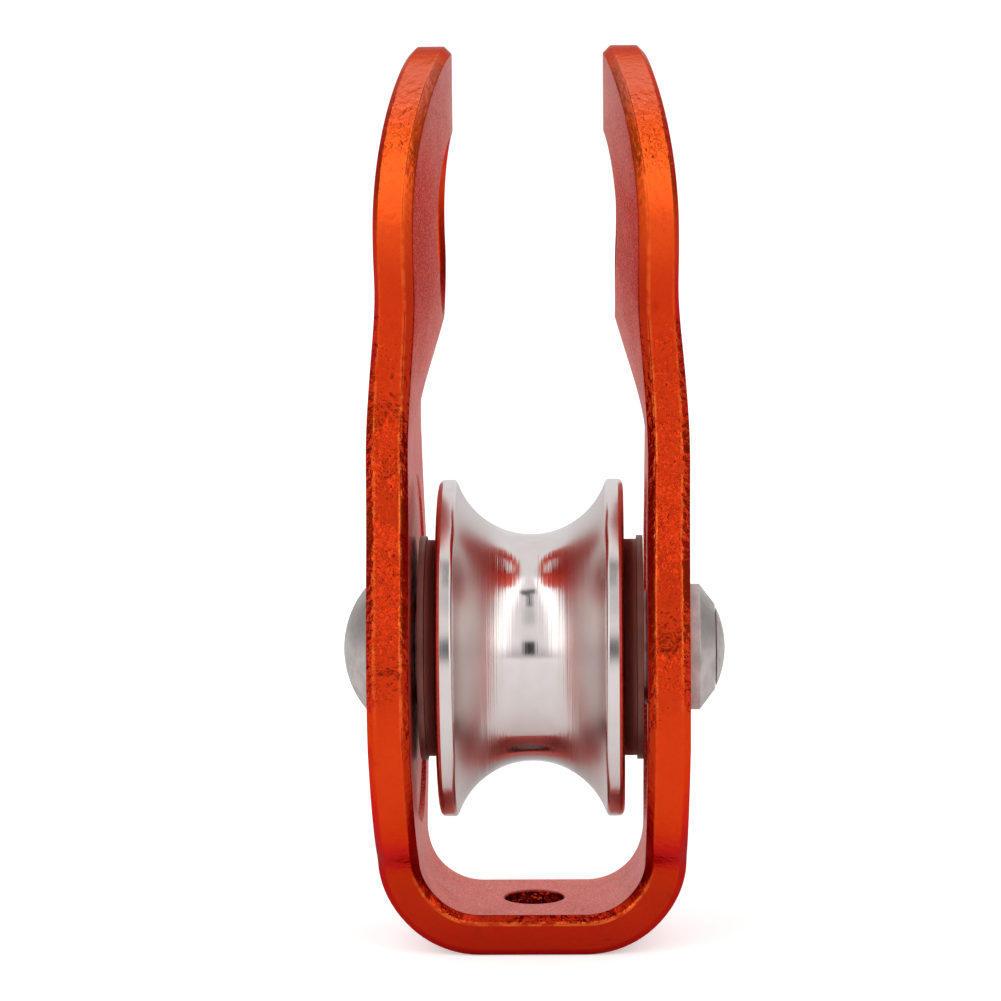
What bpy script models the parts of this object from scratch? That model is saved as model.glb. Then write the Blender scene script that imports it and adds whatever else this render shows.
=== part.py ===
"""Fixed-cheek rope pulley: a bent alloy strap, a grooved sheave on two ball bearings and a riveted axle.

Metres, +Z up. X runs along the axle and Y across the cheeks. The pulley stands on its base, with the
origin on the ground under the axle's middle. Each piece is drawn about the axle's middle, so heights
in the sizes below count from there, and a parent empty lifts it to its place. The strap is drawn
flat, as its blank is, then bent into a U and dished at the two carabiner eyes.
"""

import math

import bmesh
import bpy
from mathutils import Matrix, Vector

MM = 0.001

# Strap, in the blank's own coordinates: s runs along it from the middle of its base, t across it.
THICKNESS = 3.85 * MM
EDGE_BEVEL = 0.75 * MM
INNER_HALF_GAP = 10.75 * MM
BEND_INNER_R = 5.55 * MM
BASE_INNER_Z = -24.2 * MM
BASE_HALF_WIDTH = 8.0 * MM
LOBE_R = 21.5 * MM
EYE_Z = 40.4 * MM
EYE_R = 16.3 * MM
EYE_HOLE_R = 7.65 * MM
WAIST_Z = 26.5 * MM
WAIST_HALF_WIDTH = 14.2 * MM
WAIST_BLEND_R = 30.0 * MM
FOOT_BLEND_R = 8.0 * MM
CORD_HOLE_R = 2.82 * MM
RECESS_R = 16.5 * MM
RECESS_DEPTH = 0.25 * MM

# The cheeks are upright beside the axle, close in towards the base and open a little above.
UPRIGHT_LOW_Z = -6.0 * MM
UPRIGHT_HIGH_Z = 8.0 * MM
LOW_LEAN = 0.019
HIGH_LEAN = 0.012

# Each eye is pushed in towards the other one, most along its middle line.
DISH_DEPTH = 4.1 * MM
DISH_FALL = 3.25 * MM
DISH_POWER = 1.6
DISH_START_Z = 19.0 * MM
DISH_FULL_Z = 38.0 * MM

# Sheave.
RIM_R = 15.95 * MM
RIM_HALF_WIDTH = 8.7 * MM
MOUTH_HALF_WIDTH = 6.95 * MM
GROOVE_R = 7.4 * MM
GROOVE_ROOT_R = 10.75 * MM
HUB_R = 10.25 * MM
HUB_HALF_LENGTH = 9.87 * MM
WEB_BORE_R = 7.0 * MM
MOUTH_LIP = 0.25 * MM
# The rim's rounding, from the flange outwards: in from the flange's face, and in from the rim's radius.
RIM_ROUNDING = ((0.0, 0.6 * MM), (0.15 * MM, 0.2 * MM), (0.4 * MM, 0.0))

# Ball bearings, 8 x 16 x 5 mm.
BEARING_BORE_R = 4.05 * MM
BEARING_R = 8.0 * MM
BEARING_WIDTH = 5.0 * MM
BEARING_X = 7.35 * MM
PITCH_R = 6.0 * MM
BALL_R = 1.0 * MM
BALL_COUNT = 9
INNER_SHOULDER_R = 5.2 * MM
OUTER_SHOULDER_R = 6.8 * MM
SHIELD_SEAT_R = 7.2 * MM
SHIELD_SEAT_DEPTH = 0.45 * MM
SHIELD_THICKNESS = 0.25 * MM
SHIELD_BORE_GAP = 0.2 * MM
OUTER_TRACK_GAP = 0.1 * MM
CAGE_HALF_DEPTH = 0.5 * MM
CAGE_HALF_WIDTH = 1.4 * MM
POCKET_R = 1.08 * MM
POCKET_DEPTH = 3.0 * MM

# Axle, collar and washers.
AXLE_R = 4.0 * MM
HEAD_R = 6.9 * MM
HEAD_HEIGHT = 3.2 * MM
TENON_R = 3.0 * MM
TAIL_R = 3.72 * MM
TAIL_HEIGHT = 0.92 * MM
COLLAR_R = 5.95 * MM
COLLAR_RIM = 1.2 * MM
COLLAR_HEIGHT = 2.65 * MM
COLLAR_TOP_R = 4.05 * MM
FLARE_HEIGHT = 0.8 * MM
SPACER_R = 5.4 * MM
SLEEVE_R = 5.0 * MM
WASHER_R = 10.6 * MM
WASHER_BORE_R = 5.8 * MM
WASHER_THICKNESS = 0.6 * MM

SEAT_GAP = 0.03 * MM
SLIDE_GAP = 0.05 * MM
MERGE = 1e-6

# Facets around each turned piece, along each curved profile and along each stretch of the strap.
SHEAVE_STEPS = 40
HARDWARE_STEPS = 28
BEARING_STEPS = 24
CAGE_STEPS = 36
POCKET_STEPS = 12
BALL_SEGMENTS = 8
BALL_RINGS = 6
GROOVE_STEPS = 12
TRACK_STEPS = 6
HEAD_DOME_STEPS = 6
TAIL_DOME_STEPS = 4
EYE_HOLE_STEPS = 20
RECESS_STEPS = 36
CORD_HOLE_STEPS = 24
SHARP_ANGLE = math.radians(35)
OUTLINE_STEP = 3.2 * MM
BEND_CUTS = 6
DISH_CUTS = 9
DISH_LINES = (-12.0 * MM, -8.0 * MM, -4.0 * MM, 0.0, 4.0 * MM, 8.0 * MM, 12.0 * MM)

OUTER_HALF_WIDTH = INNER_HALF_GAP + THICKNESS
CHEEK_MID_X = INNER_HALF_GAP + THICKNESS / 2
BEND_MID_R = BEND_INNER_R + THICKNESS / 2
BASE_MID_Z = BASE_INNER_Z - THICKNESS / 2
AXLE_HEIGHT = THICKNESS - BASE_INNER_Z
BEND_CENTRE_Z = BASE_MID_Z + BEND_MID_R
BASE_FLAT = CHEEK_MID_X - LOW_LEAN * (UPRIGHT_LOW_Z - BEND_CENTRE_Z) - BEND_MID_R
BEND_END = BASE_FLAT + BEND_MID_R * math.pi / 2


def station(z):
    """How far along the blank a height on the cheek lies."""
    return BEND_END + z - BEND_CENTRE_Z


def clear_scene():
    for obj in list(bpy.data.objects):
        bpy.data.objects.remove(obj, do_unlink=True)


def new_collection(name):
    collection = bpy.data.collections.new(name)
    bpy.context.scene.collection.children.link(collection)
    return collection


def metal(name, colour, roughness):
    material = bpy.data.materials.new(name)
    material.use_nodes = True
    shader = material.node_tree.nodes["Principled BSDF"]
    shader.inputs["Base Color"].default_value = (*colour, 1.0)
    shader.inputs["Roughness"].default_value = roughness
    shader.inputs["Metallic"].default_value = 1.0
    material.diffuse_color = (*colour, 1.0)
    return material


def add_object(name, data, collection, material=None, parent=None):
    obj = bpy.data.objects.new(name, data)
    collection.objects.link(obj)
    obj.parent = parent
    if material and not data.materials:
        data.materials.append(material)
    return obj


def mesh_from_bmesh(name, bm):
    mesh = bpy.data.meshes.new(name)
    bm.to_mesh(mesh)
    bm.free()
    mesh.shade_smooth()
    mesh.set_sharp_from_angle(angle=SHARP_ANGLE)
    return mesh


# Outlines and profiles


def arc(centre, radius, start, end):
    """Points on the shorter way round from one direction to another, both ends included."""
    turn = (end - start + math.pi) % (2 * math.pi) - math.pi
    count = max(2, round(abs(turn) * radius / OUTLINE_STEP))
    angles = [start + turn * i / count for i in range(count + 1)]
    return [(centre[0] + radius * math.cos(a), centre[1] + radius * math.sin(a)) for a in angles]


def direction(start, end):
    return math.atan2(end[1] - start[1], end[0] - start[0])


def blank_outline():
    """The blank's outline: base strap, sheave lobe, waist and eye, mirrored both ways."""
    lobe = (station(0.0), 0.0)
    eye = (station(EYE_Z), 0.0)
    foot_t = BASE_HALF_WIDTH + FOOT_BLEND_R
    foot = (lobe[0] - math.sqrt((LOBE_R + FOOT_BLEND_R) ** 2 - foot_t**2), foot_t)
    near, far = LOBE_R + WAIST_BLEND_R, EYE_R + WAIST_BLEND_R
    along = (EYE_Z**2 + near**2 - far**2) / (2 * EYE_Z)
    waist = (lobe[0] + along, math.sqrt(near**2 - along**2))
    quarter = arc(foot, FOOT_BLEND_R, -math.pi / 2, direction(foot, lobe))
    quarter += arc(lobe, LOBE_R, direction(lobe, foot), direction(lobe, waist))[1:]
    quarter += arc(waist, WAIST_BLEND_R, direction(waist, lobe), direction(waist, eye))[1:]
    quarter += arc(eye, EYE_R, direction(eye, waist), 0.0)[1:]
    half = quarter + [(s, -t) for s, t in reversed(quarter[:-1])]
    return half + [(-s, -t) for s, t in half]


def circle_outline(centre_s, radius, steps):
    """A hole's outline, which runs the other way round to the blank's."""
    angles = [2 * math.pi * i / steps for i in range(steps)]
    return [(centre_s + radius * math.cos(a), radius * math.sin(a)) for a in angles]


def dome(base_x, base_r, height, steps):
    """A ball-shaped cap's profile from its base out to the axis; a negative height points to -X."""
    sphere_r = (base_r**2 + height**2) / (2 * abs(height))
    centre_x = base_x + height - math.copysign(sphere_r, height)
    spread = math.asin(base_r / sphere_r)
    angles = [spread * (1 - i / steps) for i in range(steps + 1)]
    reach = math.copysign(sphere_r, height)
    return [(centre_x + reach * math.cos(a), sphere_r * math.sin(a)) for a in angles]


def ball_track(radius, shoulder_r):
    """A ball track's profile from -X to +X; it lies beyond the ball circle for an outer ring."""
    side = 1 if shoulder_r > PITCH_R else -1
    spread = math.acos(abs(shoulder_r - PITCH_R) / radius)
    angles = [spread * (2 * i / TRACK_STEPS - 1) for i in range(TRACK_STEPS + 1)]
    return [(radius * math.sin(a), PITCH_R + side * radius * math.cos(a)) for a in angles]


def turned(name, profile, steps, collection, material, parent, x=0.0, closed=True):
    """A profile of (x, radius) points, from +X down its outer side, spun about the axle's line."""
    bm = bmesh.new()
    verts = [bm.verts.new((radius, 0.0, axial)) for axial, radius in profile]
    for first, second in zip(verts, verts[1:]):
        bm.edges.new((first, second))
    if closed:
        bm.edges.new((verts[-1], verts[0]))
    mesh = bpy.data.meshes.new(name)
    bm.to_mesh(mesh)
    bm.free()
    obj = add_object(name, mesh, collection, material, parent)
    obj.location = (x, 0.0, 0.0)
    obj.rotation_euler = (0.0, math.pi / 2, 0.0)
    screw = obj.modifiers.new("Spin", "SCREW")
    screw.axis = "Z"
    screw.angle = 2 * math.pi
    screw.steps = steps
    screw.render_steps = steps
    screw.use_merge_vertices = True
    screw.merge_threshold = MERGE
    screw.use_smooth_shade = True
    return obj


def plain_ring(inner_r, outer_r, low_x, high_x):
    return [(high_x, inner_r), (high_x, outer_r), (low_x, outer_r), (low_x, inner_r)]


def mirrored(profile):
    return [(-axial, radius) for axial, radius in reversed(profile)]


def add_cutter(name, bm, collection, parent):
    cutter = add_object(name, mesh_from_bmesh(name, bm), collection, parent=parent)
    cutter.hide_render = True
    cutter.display_type = "WIRE"
    return cutter


def add_empty(name, collection, place, parent=None):
    empty = add_object(name, None, collection, parent=parent)
    empty.location = place
    return empty


def cylinder_cutter(name, radius, low, high, axis, steps, collection, parent):
    """A closed cylinder along X or Z for a Boolean to cut with."""
    bm = bmesh.new()
    turn = Matrix.Rotation(math.pi / 2, 4, "Y") if axis == "X" else Matrix.Identity(4)
    middle = Vector((1, 0, 0) if axis == "X" else (0, 0, 1)) * (low + high) / 2
    bmesh.ops.create_cone(
        bm, cap_ends=True, segments=steps, radius1=radius, radius2=radius,
        depth=high - low, matrix=Matrix.Translation(middle) @ turn,
    )
    return add_cutter(name, bm, collection, parent)


def cut(obj, cutter):
    boolean = obj.modifiers.new(cutter.name, "BOOLEAN")
    boolean.operation = "DIFFERENCE"
    boolean.solver = "EXACT"
    boolean.object = cutter


# Frame


def blank_mesh():
    """The flat blank with bevelled edges and its two eye holes."""
    curve = bpy.data.curves.new("blank", "CURVE")
    curve.dimensions = "2D"
    curve.fill_mode = "BOTH"
    curve.extrude = THICKNESS / 2 - EDGE_BEVEL
    curve.bevel_depth = EDGE_BEVEL
    curve.bevel_resolution = 0
    curve.offset = -EDGE_BEVEL
    holes = [circle_outline(side * station(EYE_Z), EYE_HOLE_R, EYE_HOLE_STEPS) for side in (-1, 1)]
    for outline in [blank_outline(), *holes]:
        spline = curve.splines.new("POLY")
        spline.points.add(len(outline) - 1)
        for point, (s, t) in zip(spline.points, outline):
            point.co = (s, t, 0.0, 1.0)
        spline.use_cyclic_u = True
    flat = bpy.data.objects.new("blank", curve)
    bpy.context.scene.collection.objects.link(flat)
    graph = bpy.context.evaluated_depsgraph_get()
    mesh = bpy.data.meshes.new_from_object(flat.evaluated_get(graph))
    bpy.data.objects.remove(flat, do_unlink=True)
    return mesh


def smoothstep(low, high, value):
    u = min(1.0, max(0.0, (value - low) / (high - low)))
    return u * u * (3 - 2 * u)


def lean(z):
    """How far out a cheek stands at a height, compared with the upright stretch beside the axle."""
    above = max(0.0, min(z, DISH_FULL_Z) - UPRIGHT_HIGH_Z)
    below = max(0.0, UPRIGHT_LOW_Z - z)
    return HIGH_LEAN * above - LOW_LEAN * below


def dish(y, z):
    """How far a cheek is pushed in at a point on it: most at its middle line, least at its edges."""
    widening = (EYE_R - WAIST_HALF_WIDTH) * smoothstep(WAIST_Z, EYE_Z, z)
    fall = DISH_FALL * (abs(y) / (WAIST_HALF_WIDTH + widening)) ** DISH_POWER
    return smoothstep(DISH_START_Z, DISH_FULL_Z, z) * (DISH_DEPTH - fall)


def bent(point):
    """A point of the flat blank, moved to where bending and dishing take it."""
    s, t, n = point
    side = math.copysign(1.0, s)
    along = abs(s)
    if along <= BASE_FLAT:
        return Vector((s, t, BASE_MID_Z - n))
    if along <= BEND_END:
        angle = (along - BASE_FLAT) / BEND_MID_R
        radius = BEND_MID_R + n
        x = BASE_FLAT + radius * math.sin(angle)
        return Vector((side * x, t, BEND_CENTRE_Z - radius * math.cos(angle)))
    z = BEND_CENTRE_Z + along - BEND_END
    return Vector((side * (CHEEK_MID_X + n + lean(z) - dish(t, z)), t, z))


def slice_mesh(bm, point, normal, low_s=0.0):
    """Cuts extra edges along a plane, only where the blank lies further out than low_s."""
    faces = [f for f in bm.faces if max(abs(v.co.x) for v in f.verts) > low_s]
    edges = {e for f in faces for e in f.edges}
    verts = {v for f in faces for v in f.verts}
    bmesh.ops.bisect_plane(
        bm, geom=[*verts, *edges, *faces], dist=MERGE, plane_co=point, plane_no=normal,
    )


def build_frame(collection, cutters, material, parent):
    """The one-piece strap: base, two cheeks and two eyes."""
    mesh = blank_mesh()
    bm = bmesh.new()
    bm.from_mesh(mesh)
    bmesh.ops.remove_doubles(bm, verts=bm.verts, dist=MERGE)
    stations = [BASE_FLAT + (BEND_END - BASE_FLAT) * i / BEND_CUTS for i in range(BEND_CUTS + 1)]
    stations += [station(UPRIGHT_LOW_Z), station(UPRIGHT_HIGH_Z)]
    dish_start, dish_end = station(DISH_START_Z), station(EYE_Z + EYE_R)
    stations += [dish_start + (dish_end - dish_start) * i / DISH_CUTS for i in range(DISH_CUTS)]
    for s in stations:
        slice_mesh(bm, (s, 0, 0), (1, 0, 0))
        slice_mesh(bm, (-s, 0, 0), (1, 0, 0))
    for t in DISH_LINES:
        slice_mesh(bm, (0, t, 0), (0, 1, 0), low_s=dish_start + MERGE)
    for vert in bm.verts:
        vert.co = bent(vert.co)
    bmesh.ops.recalc_face_normals(bm, faces=bm.faces)
    bpy.data.meshes.remove(mesh)
    frame = add_object("frame", mesh_from_bmesh("frame", bm), collection, material, parent)
    through = OUTER_HALF_WIDTH + THICKNESS
    recess = INNER_HALF_GAP + RECESS_DEPTH
    bore = AXLE_R + SLIDE_GAP
    low, high = BASE_MID_Z - THICKNESS, BASE_MID_Z + THICKNESS
    for name, radius, start, end, axis, steps in (
        ("cheek_recess", RECESS_R, -recess, recess, "X", RECESS_STEPS),
        ("axle_bore", bore, -through, through, "X", HARDWARE_STEPS),
        ("cord_hole", CORD_HOLE_R, low, high, "Z", CORD_HOLE_STEPS),
    ):
        cut(frame, cylinder_cutter(name, radius, start, end, axis, steps, cutters, parent))


# Sheave, bearings and axle


def sheave_profile():
    """Half the section runs hub, flange, rounded rim and groove; the other half mirrors it."""
    hub = [
        (HUB_HALF_LENGTH, BEARING_R + SEAT_GAP),
        (HUB_HALF_LENGTH, HUB_R),
        (RIM_HALF_WIDTH, HUB_R),
    ]
    rim = [(RIM_HALF_WIDTH - inward, RIM_R - down) for inward, down in RIM_ROUNDING]
    rim.append((MOUTH_HALF_WIDTH + MOUTH_LIP, RIM_R))
    centre_r = GROOVE_ROOT_R + GROOVE_R
    spread = math.asin(MOUTH_HALF_WIDTH / GROOVE_R)
    angles = [spread * (1 - 2 * i / GROOVE_STEPS) for i in range(GROOVE_STEPS + 1)]
    groove = [(GROOVE_R * math.sin(a), centre_r - GROOVE_R * math.cos(a)) for a in angles]
    half = hub + rim
    seat_x = BEARING_X - BEARING_WIDTH / 2 - SEAT_GAP
    bore = [
        (-seat_x, BEARING_R + SEAT_GAP),
        (-seat_x, WEB_BORE_R),
        (seat_x, WEB_BORE_R),
        (seat_x, BEARING_R + SEAT_GAP),
    ]
    return half + groove + mirrored(half) + bore


def outer_ring_profile():
    half = BEARING_WIDTH / 2
    seat = half - SHIELD_SEAT_DEPTH
    track = ball_track(BALL_R + OUTER_TRACK_GAP, OUTER_SHOULDER_R)
    shoulder = [(-seat, SHIELD_SEAT_R), (-seat, OUTER_SHOULDER_R)]
    inner = [(-half, SHIELD_SEAT_R), *shoulder, *track]
    inner += [(seat, OUTER_SHOULDER_R), (seat, SHIELD_SEAT_R), (half, SHIELD_SEAT_R)]
    return [(half, BEARING_R), (-half, BEARING_R), *inner]


def inner_ring_profile():
    half = BEARING_WIDTH / 2
    track = ball_track(BALL_R + SLIDE_GAP, INNER_SHOULDER_R)
    outer = [(half, INNER_SHOULDER_R), *reversed(track), (-half, INNER_SHOULDER_R)]
    return [*outer, (-half, BEARING_BORE_R), (half, BEARING_BORE_R)]


def pocket_cutter(name, collection, parent):
    """Radial pins, one for each ball, that leave the cage's pockets."""
    bm = bmesh.new()
    for i in range(BALL_COUNT):
        spin = Matrix.Rotation(2 * math.pi * i / BALL_COUNT, 4, "X")
        bmesh.ops.create_cone(
            bm, cap_ends=True, segments=POCKET_STEPS, radius1=POCKET_R, radius2=POCKET_R,
            depth=POCKET_DEPTH, matrix=spin @ Matrix.Translation((0, 0, PITCH_R)),
        )
    return add_cutter(name, bm, collection, parent)


def build_bearing(side, collection, cutters, materials, still, spinning, ball_mesh):
    """One shielded ball bearing on the named side of the sheave."""
    sign = 1 if side == "right" else -1
    x = sign * BEARING_X
    steel = materials["bearing_steel"]
    name = f"{side}_bearing"
    turned(f"{name}_outer_ring", outer_ring_profile(), BEARING_STEPS, collection, steel, spinning, x)
    turned(f"{name}_inner_ring", inner_ring_profile(), BEARING_STEPS, collection, steel, still, x)
    seat = BEARING_WIDTH / 2 - SHIELD_SEAT_DEPTH + SLIDE_GAP
    shield = plain_ring(
        INNER_SHOULDER_R + SHIELD_BORE_GAP, SHIELD_SEAT_R - SLIDE_GAP, seat, seat + SHIELD_THICKNESS,
    )
    outward, inward = (shield, mirrored(shield)) if sign > 0 else (mirrored(shield), shield)
    for label, profile in (("outer_shield", outward), ("inner_shield", inward)):
        turned(f"{name}_{label}", profile, BEARING_STEPS, collection, materials["shield"], spinning, x)
    carrier = add_empty(f"{name}_carrier", collection, (x, 0.0, 0.0), still)
    section = plain_ring(
        PITCH_R - CAGE_HALF_DEPTH, PITCH_R + CAGE_HALF_DEPTH, -CAGE_HALF_WIDTH, CAGE_HALF_WIDTH,
    )
    cage = turned(f"{name}_cage", section, CAGE_STEPS, collection, materials["brass"], carrier)
    cut(cage, pocket_cutter(f"{name}_pockets", cutters, carrier))
    for i in range(BALL_COUNT):
        angle = 2 * math.pi * i / BALL_COUNT
        ball = add_object(f"{name}_ball_{i + 1}", ball_mesh, collection, parent=carrier)
        ball.location = (0.0, -PITCH_R * math.sin(angle), PITCH_R * math.cos(angle))


def axle_profile():
    """From the peened tail at +X, down the tenon and the shank, to the domed head at -X."""
    tail_x = OUTER_HALF_WIDTH + SEAT_GAP + COLLAR_HEIGHT + SEAT_GAP
    tail = list(reversed(dome(tail_x, TAIL_R, TAIL_HEIGHT, TAIL_DOME_STEPS)))
    head_x = -OUTER_HALF_WIDTH - SEAT_GAP
    shank = [
        (tail_x - FLARE_HEIGHT, TENON_R),
        (OUTER_HALF_WIDTH - SEAT_GAP, TENON_R),
        (OUTER_HALF_WIDTH - SEAT_GAP, AXLE_R),
        (head_x, AXLE_R),
    ]
    return tail + shank + dome(head_x, HEAD_R, -HEAD_HEIGHT, HEAD_DOME_STEPS)


def collar_profile():
    low = OUTER_HALF_WIDTH + SEAT_GAP
    high = low + COLLAR_HEIGHT
    flare = high - FLARE_HEIGHT
    return [
        (high, TAIL_R + SLIDE_GAP),
        (high, COLLAR_TOP_R),
        (low + COLLAR_RIM, COLLAR_R),
        (low, COLLAR_R),
        (low, TENON_R + SLIDE_GAP),
        (flare, TENON_R + SLIDE_GAP),
    ]


def build_axle(collection, materials, still):
    steel = materials["axle_steel"]
    steps = HARDWARE_STEPS
    turned("axle_rivet", axle_profile(), steps, collection, steel, still, closed=False)
    turned("rivet_collar", collar_profile(), steps, collection, steel, still)
    bearing_end = BEARING_X + BEARING_WIDTH / 2
    bearing_start = BEARING_X - BEARING_WIDTH / 2
    sleeve = plain_ring(
        BEARING_BORE_R + SLIDE_GAP, SLEEVE_R, -bearing_start + SLIDE_GAP, bearing_start - SLIDE_GAP,
    )
    turned("bearing_sleeve", sleeve, BEARING_STEPS, collection, steel, still)
    recess_floor = INNER_HALF_GAP + RECESS_DEPTH
    spacer = plain_ring(
        BEARING_BORE_R + SLIDE_GAP, SPACER_R, bearing_end + SEAT_GAP, recess_floor - SEAT_GAP,
    )
    turned("right_inner_spacer", spacer, BEARING_STEPS, collection, steel, still)
    turned("left_inner_spacer", mirrored(spacer), BEARING_STEPS, collection, steel, still)


def build_sheave(collection, materials, spinning):
    profile = sheave_profile()
    turned("sheave", profile, SHEAVE_STEPS, collection, materials["sheave_alloy"], spinning)
    low = HUB_HALF_LENGTH + SEAT_GAP
    washer = plain_ring(WASHER_BORE_R, WASHER_R, low, low + WASHER_THICKNESS)
    dark = materials["washer"]
    turned("right_side_washer", washer, SHEAVE_STEPS, collection, dark, spinning)
    turned("left_side_washer", mirrored(washer), SHEAVE_STEPS, collection, dark, spinning)


def ball_shape(material):
    bm = bmesh.new()
    bmesh.ops.create_uvsphere(bm, u_segments=BALL_SEGMENTS, v_segments=BALL_RINGS, radius=BALL_R)
    mesh = mesh_from_bmesh("ball", bm)
    mesh.materials.append(material)
    return mesh


def main():
    clear_scene()
    parts = new_collection("rope_pulley")
    cutters = new_collection("cutters")
    materials = {
        "anodised": metal("anodised", (0.68, 0.075, 0.012), 0.32),
        "sheave_alloy": metal("sheave_alloy", (0.86, 0.85, 0.84), 0.12),
        "axle_steel": metal("axle_steel", (0.60, 0.59, 0.57), 0.35),
        "bearing_steel": metal("bearing_steel", (0.66, 0.66, 0.67), 0.18),
        "shield": metal("shield", (0.58, 0.58, 0.58), 0.4),
        "brass": metal("brass", (0.72, 0.52, 0.22), 0.35),
        "washer": metal("washer", (0.16, 0.09, 0.08), 0.4),
    }
    axle_middle = (0.0, 0.0, AXLE_HEIGHT)
    still = add_empty("frame_axis", parts, axle_middle)
    spinning = add_empty("sheave_axis", parts, axle_middle)
    build_frame(parts, cutters, materials["anodised"], still)
    build_sheave(parts, materials, spinning)
    build_axle(parts, materials, still)
    ball_mesh = ball_shape(materials["bearing_steel"])
    for side in ("left", "right"):
        build_bearing(side, parts, cutters, materials, still, spinning, ball_mesh)


main()
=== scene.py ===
"""Looks for the fixed-cheek rope pulley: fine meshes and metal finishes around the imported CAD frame."""

import math

import bmesh
import bpy
from mathutils import Matrix, Vector
from mathutils.geometry import delaunay_2d_cdt


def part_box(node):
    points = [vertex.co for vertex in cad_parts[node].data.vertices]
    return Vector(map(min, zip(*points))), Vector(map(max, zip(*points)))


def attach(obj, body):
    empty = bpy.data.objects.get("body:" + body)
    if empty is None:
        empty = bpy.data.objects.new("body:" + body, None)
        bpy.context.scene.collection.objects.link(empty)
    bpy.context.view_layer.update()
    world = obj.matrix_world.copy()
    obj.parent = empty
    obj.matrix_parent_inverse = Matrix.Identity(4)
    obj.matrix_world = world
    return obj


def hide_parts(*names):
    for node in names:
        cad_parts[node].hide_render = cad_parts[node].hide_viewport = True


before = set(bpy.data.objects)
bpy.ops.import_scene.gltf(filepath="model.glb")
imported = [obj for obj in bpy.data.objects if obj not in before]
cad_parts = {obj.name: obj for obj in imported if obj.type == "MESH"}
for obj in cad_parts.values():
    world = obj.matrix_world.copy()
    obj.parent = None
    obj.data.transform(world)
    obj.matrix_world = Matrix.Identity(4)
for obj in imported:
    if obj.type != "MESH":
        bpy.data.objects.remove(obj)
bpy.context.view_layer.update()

MM = 0.001

# A length and an angle within which two places count as one, and a value that counts as nothing.
NEARLY = 1e-6
NEARLY_ANGLE = 1e-4
TINY = 1e-9


def cad_high(node):
    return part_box(node)[1]


# Every piece is drawn about the axle's middle, and every height below counts from there.
AXLE_Z = (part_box("sheave")[0].z + cad_high("sheave").z) / 2
TO_AXLE = Vector((0.0, 0.0, AXLE_Z))

# Strap sizes that the frame node shows, then the ones that shape it between those limits.
BASE_BOTTOM_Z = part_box("frame")[0].z - AXLE_Z
EYE_TOP_Z = cad_high("frame").z - AXLE_Z
LOBE_R = cad_high("frame").y
THICKNESS = 3.85 * MM
HALF_THICKNESS = THICKNESS / 2
INNER_HALF_GAP = 10.75 * MM
EDGE_BEVEL = 0.7 * MM
EDGE_ROUNDING = 0.3 * MM
EDGE_REACH = EDGE_BEVEL + 0.5 * MM
BEND_INNER_R = 5.55 * MM
BASE_HALF_WIDTH = 8.0 * MM
EYE_R = 16.3 * MM
EYE_Z = EYE_TOP_Z - EYE_R
EYE_HOLE_R = 7.65 * MM
WAIST_Z = 26.5 * MM
WAIST_HALF_WIDTH = 14.2 * MM
WAIST_BLEND_R = 30.0 * MM
FOOT_BLEND_R = 8.0 * MM
CORD_HOLE_R = 2.82 * MM
CORD_HOLE_EASE = 0.15 * MM
BORE_R = 4.05 * MM
BORE_EASE = 0.2 * MM
RECESS_R = 16.5 * MM
RECESS_DEPTH = 0.25 * MM
RECESS_RINGS = (6 * MM, 8 * MM, 10 * MM, 12 * MM, 14 * MM, 15.5 * MM)

# How the cheeks lean and how the eyes are pushed in.
UPRIGHT_LOW_Z = -6.0 * MM
UPRIGHT_HIGH_Z = 8.0 * MM
LOW_LEAN = 0.019
HIGH_LEAN = 0.012
DISH_DEPTH = 4.1 * MM
DISH_FALL = 3.25 * MM
DISH_POWER = 1.6
DISH_START_Z = 19.0 * MM
DISH_FULL_Z = 38.0 * MM

# Where the strap's stretches begin and end once it is bent.
OUTER_HALF_WIDTH = INNER_HALF_GAP + THICKNESS
CHEEK_MID_X = INNER_HALF_GAP + HALF_THICKNESS
BEND_MID_R = BEND_INNER_R + HALF_THICKNESS
BASE_MID_Z = BASE_BOTTOM_Z + HALF_THICKNESS
BEND_CENTRE_Z = BASE_MID_Z + BEND_MID_R
BASE_FLAT = CHEEK_MID_X - LOW_LEAN * (UPRIGHT_LOW_Z - BEND_CENTRE_Z) - BEND_MID_R
BEND_END = BASE_FLAT + BEND_MID_R * math.pi / 2

# Sheave and side washers.
FLANGE_X = 8.7 * MM
HUB_R = 10.25 * MM
GROOVE_R = 7.4 * MM
GROOVE_ROOT_R = 10.75 * MM
GROOVE_MOUTH_X = 6.98 * MM
GROOVE_STEPS = 48
BEARING_SEAT_R = 8.03 * MM
BEARING_SEAT_X = 4.82 * MM
WEB_R = 7.0 * MM
WASHER_BORE_R = 5.8 * MM
WASHER_REACH = 0.02 * MM

# Rivet and collar. The peened tail's lip stands TAIL_GAP off the collar and is TAIL_LIP wide, and under the
# lip the tail narrows to the tenon over TAIL_ROOT.
SHANK_R = 4.0 * MM
TENON_R = 3.0 * MM
TAIL_R = 3.72 * MM
TAIL_LIP = 0.55 * MM
TAIL_GAP = 0.11 * MM
TAIL_ROOT = 0.5 * MM
SEAT_GAP = 0.03 * MM
COLLAR_GAP = 0.05 * MM
COLLAR_FACE_R = 4.05 * MM
COLLAR_RIM = 1.2 * MM
COLLAR_FLARE = 0.8 * MM
SPACER_BORE_R = 4.1 * MM

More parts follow.
